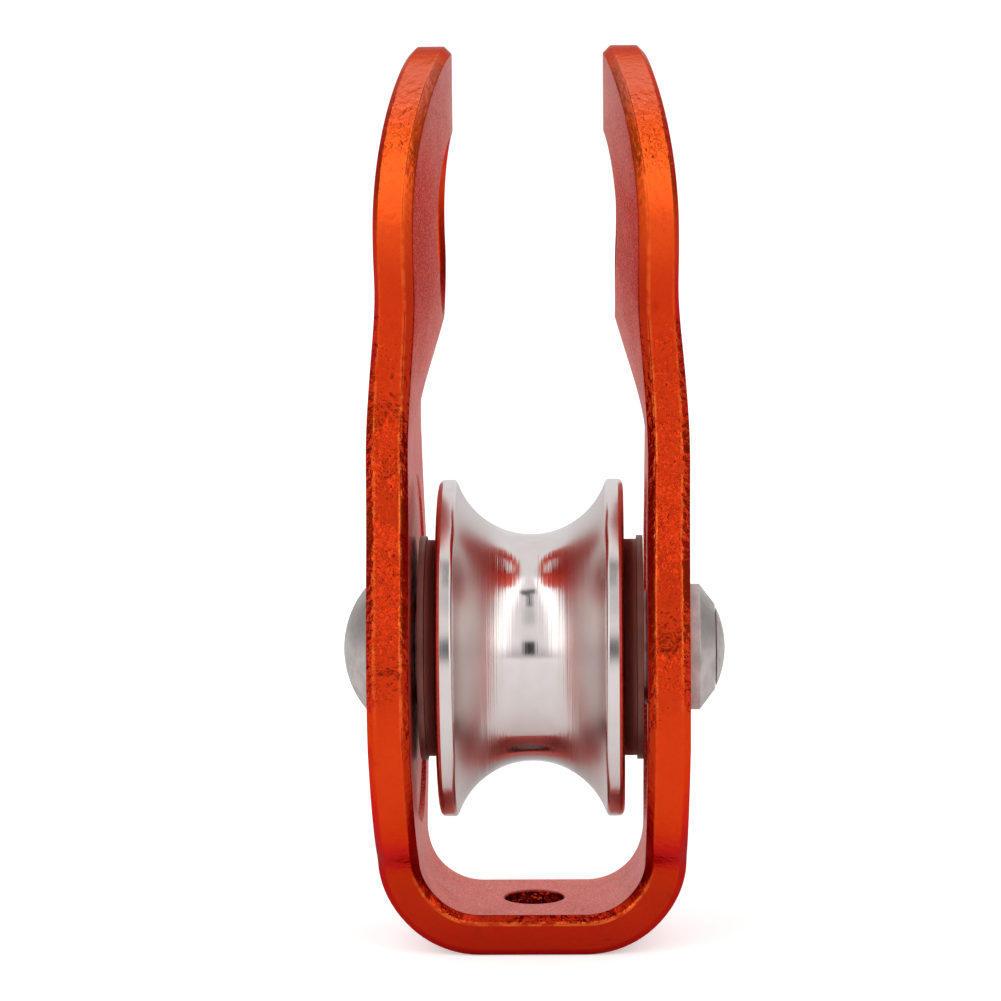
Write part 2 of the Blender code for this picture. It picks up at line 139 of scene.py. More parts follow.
# Ball bearings.
BALLS = 9
BALL_PITCH = 2 * math.pi / BALLS
BALL_R = 1.0 * MM
PITCH_R = 6.0 * MM
OUTER_RACE_R = 8.0 * MM
OUTER_SHOULDER_R = 6.8 * MM
INNER_SHOULDER_R = 5.2 * MM
INNER_RACE_R = 4.05 * MM
SHIELD_SEAT_R = 7.2 * MM
SHIELD_SEAT_DEPTH = 0.45 * MM
SHIELD_GAP = 0.2 * MM
OUTER_TRACK_PLAY = 0.08 * MM
INNER_TRACK_PLAY = 0.05 * MM
TRACK_STEPS = 12
CAGE_HALF_DEPTH = 0.5 * MM
CAGE_HALF_WIDTH = 1.4 * MM
CAGE_WINDOW_R = 1.08 * MM
CAGE_WINDOW_STEPS = 24

# Mesh fineness, and the step over which a cheek's slope is measured.
SLOPE_STEP = 0.2 * MM
OUTLINE_STEP = 0.55 * MM
FILL_STEP = 1.0 * MM
FINE_STEPS = 192
MEDIUM_STEPS = 96

# Layers of values on the strap's mesh. The first two are 1 on its edges and in its holes, and on its inner
# bevels alone; the third runs through the sheet, from -1 on the inside to 1 on the outside.
EDGE_SHARE = "edge_share"
BEVEL_SHARE = "bevel_share"
ACROSS = "across"

# The anodised coat: on the broad faces, then on the edges from the base up, with painted shade low down and
# painted light high up; then its wear and dirt, and its painted shade, highlights and sheen.
FACE_RED = (0.78, 0.038, 0.016)
FACE_PEPPER = (0.36, 0.010, 0.004)
FACE_SALT = (1.0, 0.25, 0.16)
# Painted shade and light on the edges, by height: dark on the base, lighter round the bend, a little darker
# beside the sheave, brightest and most orange on the eyes.
SHADED_BASE_EDGE = (0.50, 0.018, 0.003)
BEND_EDGE = (0.84, 0.056, 0.006)
CHEEK_EDGE = (0.72, 0.044, 0.005)
LIT_EYE_EDGE = (1.0, 0.115, 0.014)
CLOUDED_EDGE = (0.55, 0.020, 0.003)
SHADED_BEVEL = (0.26, 0.010, 0.002)
# Painted highlight: a bright golden line on the ridges beside each edge's flat.
GOLD_HIGHLIGHT = (1.0, 0.17, 0.028)
# Painted sheen: a pale whitish tint round the top of the eyes and inside the base.
PALE_SHEEN = (0.95, 0.90, 0.88)
# Painted shade: a dark line round the broad faces where they meet the edges.
SHADE_LINE_BROWN = (0.12, 0.005, 0.003)
SPECK_BROWN = (0.10, 0.012, 0.006)
SMUDGE_BROWN = (0.30, 0.014, 0.003)
# Painted shade in the hollows of the crinkled edges.
CREASE_SHADE_BROWN = (0.30, 0.008, 0.001)
FACE_TINT = (1.0, 0.66, 0.62)
EDGE_TINT = (0.60, 0.14, 0.07)

# Bare metals and paper.
ALLOY = (0.80, 0.745, 0.73)
STAINED_ALLOY = (0.75, 0.69, 0.675)
SATIN_ALLOY = (0.70, 0.635, 0.61)
HUB_BROWN = (0.385, 0.19, 0.158)
RIVET_STEEL = (0.63, 0.58, 0.56)
BEARING_STEEL = (0.70, 0.70, 0.71)
SHIELD_STEEL = (0.58, 0.58, 0.58)
CAGE_BRASS = (0.75, 0.53, 0.22)
PAPER = (0.78, 0.78, 0.78)
PAPER_LIGHT = (0.80, 0.80, 0.80)
WHITE = (1.0, 1.0, 1.0)


# ---------------------------------------------------------------- mesh helpers


def finish_mesh(bm, name, material, body, replaced):
    """Turns a bmesh into a piece that rides on a CAD body and stands for a CAD node."""
    bmesh.ops.translate(bm, verts=bm.verts, vec=TO_AXLE)
    bmesh.ops.recalc_face_normals(bm, faces=bm.faces)
    mesh = bpy.data.meshes.new(name)
    bm.to_mesh(mesh)
    bm.free()
    mesh.shade_smooth()
    piece = bpy.data.objects.new(name, mesh)
    bpy.context.scene.collection.objects.link(piece)
    mesh.materials.append(material)
    weighted = piece.modifiers.new("flat_faces_stay_flat", "WEIGHTED_NORMAL")
    weighted.keep_sharp = True
    weighted.weight = 80
    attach(piece, body)
    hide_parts(replaced)


def turns(steps):
    return [2 * math.pi * i / steps for i in range(steps)]


def rounded(points, radius, closed=False, segments=4):
    """A polyline with each corner swapped for a small arc, as far as its neighbours leave room."""
    nearly_straight = math.radians(172)
    count = len(points)
    result = []
    for i, (x, y) in enumerate(points):
        if not closed and i in (0, count - 1):
            result.append((x, y))
            continue
        corner = Vector((x, y))
        to_last = Vector(points[i - 1]) - corner
        to_next = Vector(points[(i + 1) % count]) - corner
        angle = to_last.angle(to_next)
        if angle > nearly_straight:
            result.append((x, y))
            continue
        reach = min(radius / math.tan(angle / 2), 0.45 * to_last.length, 0.45 * to_next.length)
        start = corner + to_last.normalized() * reach
        end = corner + to_next.normalized() * reach
        for k in range(segments + 1):
            u = k / segments
            blend = start * (1 - u) ** 2 + corner * 2 * u * (1 - u) + end * u**2
            result.append((blend.x, blend.y))
    return result


def sweep_rings(bm, stations, profile):
    """Joins rings of vertices: one for each profile point (d, n), d along each station's direction."""
    rings = []
    for d, n in profile:
        rings.append([bm.verts.new((p[0] + q[0] * d, p[1] + q[1] * d, n)) for p, q in stations])
    for first, second in zip(rings, rings[1:]):
        for i in range(len(stations)):
            j = (i + 1) % len(stations)
            bm.faces.new((first[i], first[j], second[j], second[i]))
    return rings


def turned(name, profile, material, body, replaced, x=0.0, steps=MEDIUM_STEPS):
    """A piece turned about the axle's line from a profile of (x, radius) points."""
    bm = bmesh.new()
    rings = []
    for axial, radius in profile:
        if radius < TINY:
            rings.append([bm.verts.new((x + axial, 0, 0))])
            continue
        spots = [(x + axial, radius * math.sin(a), radius * math.cos(a)) for a in turns(steps)]
        rings.append([bm.verts.new(spot) for spot in spots])
    pairs = list(zip(rings, rings[1:]))
    if len(rings[0]) > 1:
        pairs.append((rings[-1], rings[0]))
    for first, second in pairs:
        for i in range(steps):
            j = (i + 1) % steps
            if len(first) == 1:
                bm.faces.new((first[0], second[j], second[i]))
            elif len(second) == 1:
                bm.faces.new((first[i], first[j], second[0]))
            else:
                bm.faces.new((first[i], first[j], second[j], second[i]))
    finish_mesh(bm, name, material, body, replaced)


def plain_ring(inner_r, outer_r, low_x, high_x, rounding=0.08 * MM):
    corners = [(high_x, inner_r), (high_x, outer_r), (low_x, outer_r), (low_x, inner_r)]
    return rounded(corners, rounding, closed=True)


def mirrored(profile):
    return [(-axial, radius) for axial, radius in reversed(profile)]


# ---------------------------------------------------------------- material helpers


class Nodes:
    """Adds shader nodes and links them in one line. Lengths are in millimetres, as in new_material."""

    def __init__(self, tree):
        self.tree = tree

    def feed(self, socket, value):
        """Links a socket to another one or sets its value; a colour may leave out its alpha."""
        if isinstance(value, bpy.types.NodeSocket):
            self.tree.links.new(value, socket)
        elif socket.type == "RGBA":
            socket.default_value = (*value, 1.0)[:4]
        else:
            socket.default_value = value

    def add(self, kind, inputs=None, **settings):
        node = self.tree.nodes.new(kind)
        for key, value in settings.items():
            setattr(node, key, value)
        for key, value in (inputs or {}).items():
            self.feed(node.inputs[key], value)
        return node

    def maths(self, operation, first, second=0.0):
        return self.add("ShaderNodeMath", {0: first, 1: second}, operation=operation).outputs[0]

    def product(self, first, *others):
        for other in others:
            first = self.maths("MULTIPLY", first, other)
        return first

    def total(self, first, *others):
        for other in others:
            first = self.maths("ADD", first, other)
        return first

    def ramp(self, value, low, high, start=0.0, end=1.0):
        """A smooth change from start to end as the value goes from low to high."""
        inputs = {"Value": value, "From Min": low, "From Max": high, "To Min": start, "To Max": end}
        return self.add("ShaderNodeMapRange", inputs, interpolation_type="SMOOTHSTEP").outputs[0]

    def band(self, value, rise, fall):
        """1 between the rise and the fall, each a (low, high) pair, and 0 outside them."""
        return self.product(self.ramp(value, *rise), self.ramp(value, *fall, 1.0, 0.0))

    def blend(self, factor, first, second):
        """The first number where the factor is 0, and the second where it is 1."""
        rest = self.maths("SUBTRACT", 1.0, factor)
        return self.total(self.product(factor, second), self.product(rest, first))

    def mix(self, factor, first, second):
        """The first colour where the factor is 0, and the second where it is 1."""
        return self.add("ShaderNodeMix", {0: factor, 6: first, 7: second}, data_type="RGBA").outputs[2]

    def noise(self, vector, size, detail=2.0, roughness=0.5):
        """Noise whose lumps are about the given size across."""
        inputs = {"Vector": vector, "Scale": 1 / size, "Detail": detail, "Roughness": roughness}
        return self.add("ShaderNodeTexNoise", inputs).outputs["Fac"]

    def stretched(self, vector, scale):
        return self.add("ShaderNodeMapping", {"Vector": vector, "Scale": scale}).outputs[0]

    def layer(self, name):
        """A layer of values on the mesh."""
        return self.add("ShaderNodeAttribute", attribute_name=name).outputs["Fac"]

    def bump(self, height, depth, normal=None):
        """A normal for a surface that stands up to the given depth above the last one."""
        inputs = {"Height": height, "Distance": depth * MM, "Strength": 1.0}
        if normal is not None:
            inputs["Normal"] = normal
        return self.add("ShaderNodeBump", inputs).outputs[0]


def darker(tone, share):
    return tuple(part * share for part in tone)


def new_material(name):
    """A material, its node wrapper, its shader, and a point's place from the axle in millimetres."""
    material = bpy.data.materials.new(name)
    material.use_nodes = True
    nodes = Nodes(material.node_tree)
    shader = material.node_tree.nodes["Principled BSDF"]
    whole = nodes.add("ShaderNodeTexCoord").outputs["Object"]
    from_axle = nodes.add("ShaderNodeVectorMath", {0: whole, 1: TO_AXLE}, operation="SUBTRACT").outputs[0]
    place = nodes.stretched(from_axle, (1 / MM, 1 / MM, 1 / MM))
    return material, nodes, shader, place


def connect(nodes, shader, inputs):
    for name, value in inputs.items():
        nodes.feed(shader.inputs[name], value)


# ---------------------------------------------------------------- the strap's coat


def crinkle_share(nodes, place, height, bevel):
    """Where the edges are crinkled: beside the sheave, at the waist, high on the eyes and inside the base."""
    middle = nodes.band(height, (-9, -1), (28, 36))
    top = nodes.product(nodes.band(height, (45, 48), (52, 55)), 0.62)
    smooth_bevel = nodes.product(bevel, nodes.ramp(height, 20, 40, 0.4, 0.97))
    share = nodes.product(nodes.total(middle, top), nodes.maths("SUBTRACT", 1.0, smooth_bevel))
    share = nodes.total(share, nodes.product(nodes.ramp(height, -24, -21, 1.0, 0.0), bevel))
    cloud = nodes.ramp(nodes.noise(place, 6), 0.42, 0.58, 0.15, 1.0)
    return nodes.total(nodes.product(share, cloud), 0.14)


def ridge_highlight_share(nodes, place, height):
    """Where a highlight is painted: the ridge on each side of the edge's flat, most of all on the inside."""
    across = nodes.layer(ACROSS)
    ridge = nodes.band(nodes.maths("ABSOLUTE", across), (0.50, 0.58), (0.67, 0.74))
    outer = nodes.ramp(height, -10, 0, 0.0, 0.5)
    side = nodes.blend(nodes.ramp(across, -0.1, 0.1), 0.95, outer)
    base = nodes.ramp(height, -23, -19, 1.0, 0.15)
    beside_sheave = nodes.ramp(height, -6, 2, 0.0, 0.85)
    above = nodes.ramp(height, 24, 32, 0.0, -0.55)
    patches = nodes.ramp(nodes.noise(place, 1.1, detail=3), 0.40, 0.58, 0.25, 1.0)
    return nodes.product(ridge, side, nodes.total(base, beside_sheave, above), patches)


def sheen_share(nodes, place, height, edge):
    """Where a pale sheen is painted: round the top of the eyes, and on the inside of the base."""
    ragged = nodes.total(height, nodes.ramp(nodes.noise(place, 7), 0.3, 0.7, -2.5, 2.5))
    face = nodes.total(nodes.ramp(ragged, 42, 52, 0.0, 0.18), nodes.ramp(ragged, -25, -14, 0.14, 0.0))
    inside = nodes.product(face, nodes.ramp(nodes.layer(ACROSS), -0.9, -0.5, 1.0, 0.0))
    rim = nodes.ramp(height, 49, 57, 0.0, 0.17)
    return nodes.blend(edge, inside, rim)


def edge_colour(nodes, place, height, bevel):
    """The edges' orange: deep with painted shade on the base, bright with painted light on the eyes, darkened
    by painted shade on the inner bevel, with a painted highlight on the ridges.
    """
    # Painted shade and light by height: dark on the base, bright on the eyes.
    tone = nodes.mix(nodes.ramp(height, -27, -13), SHADED_BASE_EDGE, BEND_EDGE)
    tone = nodes.mix(nodes.ramp(height, -8, 1), tone, CHEEK_EDGE)
    tone = nodes.mix(nodes.ramp(height, 34, 46), tone, LIT_EYE_EDGE)
    cloud = nodes.noise(place, 9, detail=3)
    tone = nodes.mix(nodes.ramp(cloud, 0.35, 0.65, 0.18, 0.0), tone, CLOUDED_EDGE)
    # Painted shade on the inner bevel: none on the base, less high on the eyes.
    above_base = nodes.ramp(height, -24, -17, 0.0, 0.45)
    below_eye = nodes.ramp(height, 34, 46, 1.0, 0.3)
    tone = nodes.mix(nodes.product(bevel, above_base, below_eye), tone, SHADED_BEVEL)
    # A painted highlight on the ridges beside the edge's flat.
    return nodes.mix(ridge_highlight_share(nodes, place, height), tone, GOLD_HIGHLIGHT)


def coat_colour(nodes, place, height, edge, bevel):
    """Salt-and-pepper red on the broad faces, a painted dark line of shade round them, orange edges and
    painted pale sheen.
    """
    base = nodes.mix(edge, FACE_RED, edge_colour(nodes, place, height, bevel))
    # Painted shade: a dark line where the broad faces meet the edges.
    shade_line = nodes.band(edge, (0.0, 0.4), (0.6, 1.0))
    base = nodes.mix(nodes.product(shade_line, 0.75), base, SHADE_LINE_BROWN)
    pepper = nodes.ramp(nodes.noise(place, 0.21, roughness=0.7), 0.44, 0.56)
    base = nodes.mix(nodes.product(pepper, nodes.ramp(edge, 0.0, 1.0, 0.72, 0.08)), base, FACE_PEPPER)
    salt = nodes.ramp(nodes.noise(place, 0.17, detail=1, roughness=0.6), 0.54, 0.64)
    base = nodes.mix(nodes.product(salt, nodes.ramp(edge, 0.0, 0.12, 0.85, 0.0)), base, FACE_SALT)
    # Painted sheen: pale round the top of the eyes and inside the base.
    return nodes.mix(sheen_share(nodes, place, height, edge), base, PALE_SHEEN)


def dirtied(nodes, place, base):
    """A few dark specks and faint smudges over a colour."""
    cells = nodes.add("ShaderNodeTexVoronoi", {"Vector": place, "Scale": 1 / 2.4}).outputs
    pick = nodes.add("ShaderNodeSeparateColor", {"Color": cells["Color"]}).outputs[0]
    specks = nodes.product(nodes.ramp(pick, 0.86, 0.87), nodes.ramp(cells["Distance"], 0.04, 0.12, 1.0, 0.0))
    base = nodes.mix(nodes.product(specks, 0.6), base, SPECK_BROWN)
    smudge = nodes.ramp(nodes.noise(place, 4, detail=4, roughness=0.65), 0.60, 0.74)
    return nodes.mix(nodes.product(smudge, 0.35), base, SMUDGE_BROWN)


def coat_roughness(nodes, place, height, edge):
    """Matt faces and glossier edges, which are duller half-way up the eyes."""
    wear = nodes.ramp(nodes.noise(place, 3, detail=3), 0.3, 0.7, -0.03, 0.05)
    dull_eye = nodes.product(nodes.band(height, (33, 38), (43, 47)), edge, 0.14)
    return nodes.total(wear, nodes.ramp(edge, 0.0, 1.0, 0.40, 0.20), dull_eye)


def anodised():
    """Orange-red anodised alloy: crinkled edges and blasted broad faces under a clear oxide skin."""
    material, nodes, shader, place = new_material("anodised")
    height = nodes.add("ShaderNodeSeparateXYZ", {"Vector": place}).outputs["Z"]
    edge, bevel = nodes.layer(EDGE_SHARE), nodes.layer(BEVEL_SHARE)
    base = dirtied(nodes, place, coat_colour(nodes, place, height, edge, bevel))
    crinkle = nodes.noise(nodes.stretched(place, (1.0, 1.0, 0.9)), 0.62)
    crinkled = nodes.product(crinkle_share(nodes, place, height, bevel), edge)
    # Painted shade in the crinkle's hollows on the edges.
    crease_shade = nodes.product(nodes.ramp(crinkle, 0.34, 0.50, 1.0, 0.0), crinkled)
    base = nodes.mix(nodes.product(crease_shade, 0.18), base, CREASE_SHADE_BROWN)
    grain = nodes.noise(nodes.stretched(place, (1.0, 0.3, 1.0)), 0.27, roughness=0.6)
    normal = nodes.bump(nodes.noise(place, 5, detail=1), 0.05)
    normal = nodes.bump(nodes.product(crinkle, crinkled), 0.44, normal)
    normal = nodes.bump(nodes.product(grain, nodes.ramp(edge, 0.0, 1.0, 3.3, 0.8)), 0.020, normal)
    connect(nodes, shader, {
        "Base Color": base,
        "Metallic": 1.0,
        "Roughness": coat_roughness(nodes, place, height, edge),
        "Normal": normal,
        "Specular Tint": nodes.mix(edge, FACE_TINT, EDGE_TINT),
        "Coat IOR": 1.3,
        "Coat Weight": nodes.ramp(edge, 0.0, 1.0, 0.36, 0.16),
        "Coat Roughness": nodes.ramp(edge, 0.0, 1.0, 0.34, 0.20),
        "Coat Normal": normal,
    })
    return material


# ---------------------------------------------------------------- bare metals


def lathe_places(nodes, place):
    """The X coordinate, its size without sign, and the distance from the axle's line."""
    axes = nodes.add("ShaderNodeSeparateXYZ", {"Vector": place}).outputs
    squares = [nodes.product(axes[a], axes[a]) for a in ("Y", "Z")]
    radius = nodes.maths("SQRT", nodes.total(*squares))
    return axes["X"], nodes.maths("ABSOLUTE", axes["X"]), radius


def lathe_lines(nodes, place, size):
    """Fine lines that run round the axle's line."""
    axial, _, radius = lathe_places(nodes, place)
    section = nodes.add("ShaderNodeCombineXYZ", {"X": axial, "Y": radius, "Z": 0.0}).outputs[0]
    return nodes.noise(section, size, detail=3, roughness=0.7)


def turned_metal(name, tone, roughness, line_depth, mottle, metal=1.0):
    """Metal off a lathe: fine lines that run round the axle's line, and faint stains."""
    material, nodes, shader, place = new_material(name)
    lines = lathe_lines(nodes, place, 0.08)
    stain = nodes.ramp(nodes.noise(place, 2.5, detail=4, roughness=0.6), 0.35, 0.7)
    base = nodes.mix(stain, tone, darker(tone, 1 - 2.5 * mottle))
    streak = nodes.product(nodes.ramp(lines, 0.35, 0.7), 2 * mottle)
    connect(nodes, shader, {
        "Base Color": nodes.mix(streak, base, darker(tone, 0.5)),
        "Metallic": metal,
        "Roughness": nodes.ramp(lines, 0.3, 0.7, roughness * 0.8, roughness * 1.25),
        "Normal": nodes.bump(lines, line_depth),
    })
    return material


def sheave_alloy():
    """Bright turned alloy: nearly a mirror in the groove's root, satin up its sides, brown on the hubs."""
    material, nodes, shader, place = new_material("sheave_alloy")
    axial, aside, radius = lathe_places(nodes, place)
    fine, broad = lathe_lines(nodes, place, 0.07), lathe_lines(nodes, place, 0.32)
    side = nodes.band(aside, (1.8, 4.6), (6.9, 7.0))
    ribbed = nodes.product(nodes.ramp(aside, 0.6, 3.0, 0.3, 1.0), nodes.ramp(aside, 5.0, 6.6, 1.0, 0.0))
    hub = nodes.product(nodes.ramp(radius, 10.4, 10.5, 1.0, 0.0), nodes.ramp(aside, 8.5, 8.6))
    rim_land = nodes.ramp(radius, 15.5, 15.9)
    stain = nodes.ramp(nodes.noise(place, 3, detail=4, roughness=0.6), 0.35, 0.7)
    base = nodes.mix(stain, ALLOY, STAINED_ALLOY)
    base = nodes.mix(nodes.product(side, 0.6), base, SATIN_ALLOY)
    base = nodes.mix(hub, base, nodes.mix(nodes.ramp(fine, 0.35, 0.7), HUB_BROWN, darker(HUB_BROWN, 0.7)))
    duller = (nodes.product(side, 0.19), nodes.product(hub, 0.29), nodes.product(rim_land, 0.09))
    from_scratch = nodes.maths("ABSOLUTE", nodes.maths("SUBTRACT", axial, 0.7))
    normal = nodes.bump(fine, 0.0012)
    normal = nodes.bump(nodes.product(broad, ribbed), 0.034, normal)
    normal = nodes.bump(nodes.ramp(from_scratch, 0.0, 0.05), 0.006, normal)
    connect(nodes, shader, {
        "Base Color": base,
        "Metallic": nodes.maths("SUBTRACT", 1.0, nodes.product(hub, 0.5)),
        "Roughness": nodes.total(nodes.ramp(fine, 0.3, 0.7, 0.09, 0.13), *duller),
        "Normal": normal,
    })
    return material


def satin_metal(name, tone, roughness):
    """Tumbled steel: soft mottling, tiny dents and stray fine scratches."""
    material, nodes, shader, place = new_material(name)
    cloud = nodes.noise(place, 1.6, detail=4, roughness=0.65)
    fine = nodes.noise(place, 0.12, roughness=0.7)
    scratches = nodes.noise(nodes.stretched(place, (1.0, 0.06, 1.0)), 0.1, detail=1)
    normal = nodes.bump(nodes.noise(place, 0.5), 0.02)
    normal = nodes.bump(fine, 0.006, normal)
    normal = nodes.bump(scratches, 0.003, normal)
    connect(nodes, shader, {
        "Base Color": nodes.mix(nodes.ramp(cloud, 0.35, 0.75), tone, darker(tone, 0.80)),
        "Metallic": 1.0,
        "Roughness": nodes.ramp(cloud, 0.3, 0.7, roughness * 0.85, roughness * 1.2),
        "Normal": normal,
    })
    return material


# ---------------------------------------------------------------- strap


def arc(centre, radius, start, end, inward):
    """Stations on an arc; inward is 1 where the metal lies towards its centre and -1 where beyond."""
    turn = (end - start + math.pi) % (2 * math.pi) - math.pi
    count = max(2, round(abs(turn) * radius / OUTLINE_STEP))
    stations = []
    for i in range(count + 1):
        a = start + turn * i / count
        unit = Vector((math.cos(a), math.sin(a)))
        stations.append((Vector(centre) + radius * unit, -inward * unit))
    return stations


def direction(start, end):
    return math.atan2(end[1] - start[1], end[0] - start[0])


def station(z):
    """How far along the blank a height on the cheek lies."""
    return BEND_END + z - BEND_CENTRE_Z


def blank_outline():
    """Stations round the flat blank: a quarter of base, lobe, waist and eye, mirrored both ways."""
    lobe, eye = (station(0.0), 0.0), (station(EYE_Z), 0.0)
    foot_t = BASE_HALF_WIDTH + FOOT_BLEND_R
    foot = (lobe[0] - math.sqrt((LOBE_R + FOOT_BLEND_R) ** 2 - foot_t**2), foot_t)
    near, far = LOBE_R + WAIST_BLEND_R, EYE_R + WAIST_BLEND_R
    along = (EYE_Z**2 + near**2 - far**2) / (2 * EYE_Z)
    waist = (lobe[0] + along, math.sqrt(near**2 - along**2))
    straight = round(foot[0] / OUTLINE_STEP)
    side = Vector((0, -1))
    quarter = [(Vector((foot[0] * i / straight, BASE_HALF_WIDTH)), side) for i in range(straight)]
    quarter += arc(foot, FOOT_BLEND_R, -math.pi / 2, direction(foot, lobe), -1)
    quarter += arc(lobe, LOBE_R, direction(lobe, foot), direction(lobe, waist), 1)[1:]
    quarter += arc(waist, WAIST_BLEND_R, direction(waist, lobe), direction(waist, eye), -1)[1:]
    quarter += arc(eye, EYE_R, direction(eye, waist), 0.0, 1)[1:]
    half = quarter + [(Vector((p.x, -p.y)), Vector((q.x, -q.y))) for p, q in reversed(quarter[:-1])]
    return half + [(Vector((-p.x, p.y)), Vector((-q.x, q.y))) for p, q in reversed(half[1:-1])]


def circle(centre_s, steps):
    return [(Vector((centre_s, 0)), Vector((math.cos(a), math.sin(a)))) for a in turns(steps)]


def edge_profile(offset=0.0):
    """Across a bevelled edge from the outer face to the inner one; offset moves it out to a hole's radius."""
    h, b = HALF_THICKNESS, EDGE_BEVEL
    corners = [(EDGE_REACH, h), (b, h), (0, h - b), (0, b - h), (b, -h), (EDGE_REACH, -h)]
    return [(offset + d, n) for d, n in rounded(corners, EDGE_ROUNDING)]


def bore_profile():
    """From the outer face in through the axle's bore, then out over the recess to its rim."""
    h, lead, floor = HALF_THICKNESS, BORE_EASE, RECESS_DEPTH - HALF_THICKNESS
    bore = [(BORE_R + 3 * lead, h), (BORE_R + lead, h), (BORE_R, h - lead), (BORE_R, floor + lead)]
    across = [(BORE_R + lead, floor), *((r, floor) for r in RECESS_RINGS), (RECESS_R - 0.05 * MM, floor)]
    lip = [(RECESS_R, floor - 0.04 * MM), (RECESS_R + 0.03 * MM, -h), (RECESS_R + 0.4 * MM, -h)]
    return bore + across + lip


def cord_profile():
    """From the outer face in through the keeper cord's hole, eased at both ends."""
    h, r, ease = HALF_THICKNESS, CORD_HOLE_R, CORD_HOLE_EASE
    outer_half = [(r + 3 * ease, h), (r + ease, h), (r, h - ease)]
    return outer_half + [(r, ease - h), (r + ease, -h), (r + 3 * ease, -h)]


def filling_points(rim):
    """A lattice of points over a face as far as its rim reaches, without those close to the rim."""
    def cell(p):
        return round(p.x / FILL_STEP), round(p.y / FILL_STEP)

    cells = {}
    for p in rim:
        cells.setdefault(cell(p), []).append(p)

    def near_rim(p):
        column, row = cell(p)
        around = [(column + i, row + j) for i in (-1, 0, 1) for j in (-1, 0, 1)]
        return any((p - q).length < 0.55 * FILL_STEP for key in around for q in cells.get(key, ()))

    row_gap = FILL_STEP * math.sqrt(3) / 2
    rows = int(max(p.y for p in rim) / row_gap)
    columns = int(max(p.x for p in rim) / FILL_STEP)
    lattice = [
        Vector(((i + 0.5 * (j % 2)) * FILL_STEP, j * row_gap))
        for j in range(-rows, rows + 1)
        for i in range(-columns, columns + 1)
    ]
    return [p for p in lattice if not near_rim(p)]


def fill_face(bm, outer, holes):
    """Fills a flat face from its outer ring in to round holes, each a (ring, centre, radius)."""
    level = outer[0].co.z
    verts, edges = [], []
    for ring in [outer, *[hole[0] for hole in holes]]:
        first = len(verts)
        verts += ring
        edges += [(first + i, first + (i + 1) % len(ring)) for i in range(len(ring))]
    rim = [Vector((v.co.x, v.co.y)) for v in verts]
    points = [p / MM for p in rim + filling_points(rim)]
    spots, _, faces, sources, _, _ = delaunay_2d_cdt(points, edges, [], 1, 1e-6)
    made = {}

    def vert_for(index):
        if index not in made:
            on_rim = [k for k in sources[index] if k < len(verts)]
            spot = (spots[index].x * MM, spots[index].y * MM, level)
            made[index] = verts[on_rim[0]] if on_rim else bm.verts.new(spot)
        return made[index]

    for face in faces:
        middle = sum((spots[k] for k in face), Vector((0, 0))) / len(face) * MM
        if any((middle - Vector((s, 0))).length < radius for _, s, radius in holes):
            continue
        corners = [vert_for(k) for k in face]
        if len(set(corners)) == len(corners):
            bm.faces.new(corners)


def smoothstep(low, high, value):
    u = min(1.0, max(0.0, (value - low) / (high - low)))
    return u * u * (3 - 2 * u)


def lean(z):
    above = max(0.0, min(z, DISH_FULL_Z) - UPRIGHT_HIGH_Z)
    below = max(0.0, UPRIGHT_LOW_Z - z)
    return HIGH_LEAN * above - LOW_LEAN * below


def dish(y, z):
    widening = (EYE_R - WAIST_HALF_WIDTH) * smoothstep(WAIST_Z, EYE_Z, z)
    fall = DISH_FALL * (abs(y) / (WAIST_HALF_WIDTH + widening)) ** DISH_POWER
    return smoothstep(DISH_START_Z, DISH_FULL_Z, z) * (DISH_DEPTH - fall)


def cheek_shift(y, z):
    return lean(z) - dish(y, z)


def bent(point):
    """A point of the flat blank, moved to where bending and dishing take it."""
    s, t, n = point
    side = math.copysign(1.0, s)
    along = abs(s)
    if along <= BASE_FLAT:
        return Vector((s, t, BASE_MID_Z - n))
    if along <= BEND_END:
        angle = (along - BASE_FLAT) / BEND_MID_R
        radius = BEND_MID_R + n
        x = BASE_FLAT + radius * math.sin(angle)
        return Vector((side * x, t, BEND_CENTRE_Z - radius * math.cos(angle)))
    z = BEND_CENTRE_Z + along - BEND_END
    if math.hypot(z, t) <= RECESS_R + NEARLY and n > NEARLY - HALF_THICKNESS:
        return Vector((side * (CHEEK_MID_X + n), t, z))
    slope_y = (cheek_shift(t + SLOPE_STEP, z) - cheek_shift(t - SLOPE_STEP, z)) / (2 * SLOPE_STEP)
    slope_z = (cheek_shift(t, z + SLOPE_STEP) - cheek_shift(t, z - SLOPE_STEP)) / (2 * SLOPE_STEP)
    out = Vector((1.0, -slope_y, -slope_z)).normalized() * n
    return Vector((side * (CHEEK_MID_X + cheek_shift(t, z) + out.x), t + out.y, z + out.z))


def on_edge(point):
    """Whether a point of the blank is on a bevelled edge or a hole's wall, not on a broad face."""
    by_recess = math.hypot(abs(point.x) - station(0.0), point.y) < RECESS_R + 0.2 * MM
    skin = RECESS_DEPTH + 0.02 * MM if by_recess else 0.01 * MM
    return abs(point.z) < HALF_THICKNESS - skin


def mark_and_bend(bm):
    """Writes the coat's layers of values on the flat blank, then bends it."""
    edge_share, bevel_share, across = [
        bm.verts.layers.float.new(name) for name in (EDGE_SHARE, BEVEL_SHARE, ACROSS)
    ]
    for vert in bm.verts:
        edge = on_edge(vert.co)
        vert[edge_share] = 1.0 if edge else 0.0
        vert[bevel_share] = 1.0 if edge and vert.co.z < EDGE_BEVEL - HALF_THICKNESS else 0.0
        vert[across] = vert.co.z / HALF_THICKNESS
        vert.co = bent(vert.co)


